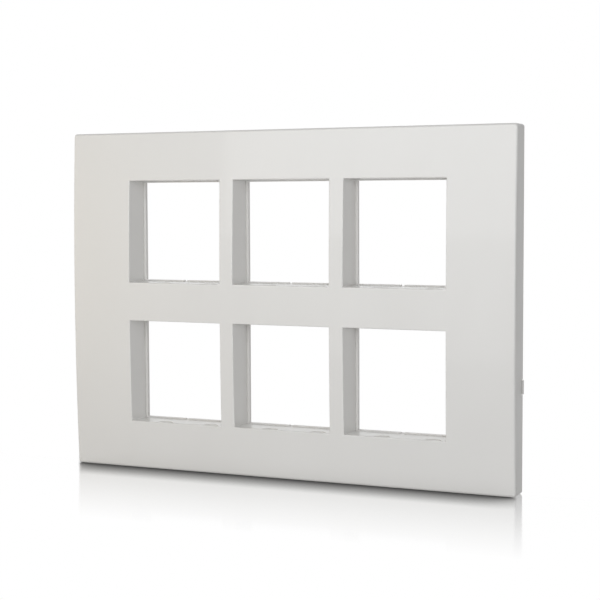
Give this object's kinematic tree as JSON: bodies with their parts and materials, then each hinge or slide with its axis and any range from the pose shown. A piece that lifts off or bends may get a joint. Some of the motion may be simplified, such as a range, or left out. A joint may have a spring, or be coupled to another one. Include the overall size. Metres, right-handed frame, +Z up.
{
  "type": "modular wiring cover plate",
  "caption": "Wall cover plate with a bowed face and two rows of square module windows, snapped onto a screw-fixed support frame.",
  "frame": {"origin": "middle of the plate on the wall plane, where the frame's flat back meets the wall", "axes": "+X to the right along the plate's width, +Z up, +Y into the wall; the bowed face looks along -Y"},
  "size_m": [0.208, 0.0174, 0.1504],
  "materials": {
    "cover_plastic": "glossy off-white moulded plastic",
    "frame_plastic": "half-gloss off-white moulded plastic"
  },
  "bodies": {
    "root": {"cover_plate": "cover_plastic", "support_frame": "frame_plastic"}
  },
  "joints": []
}
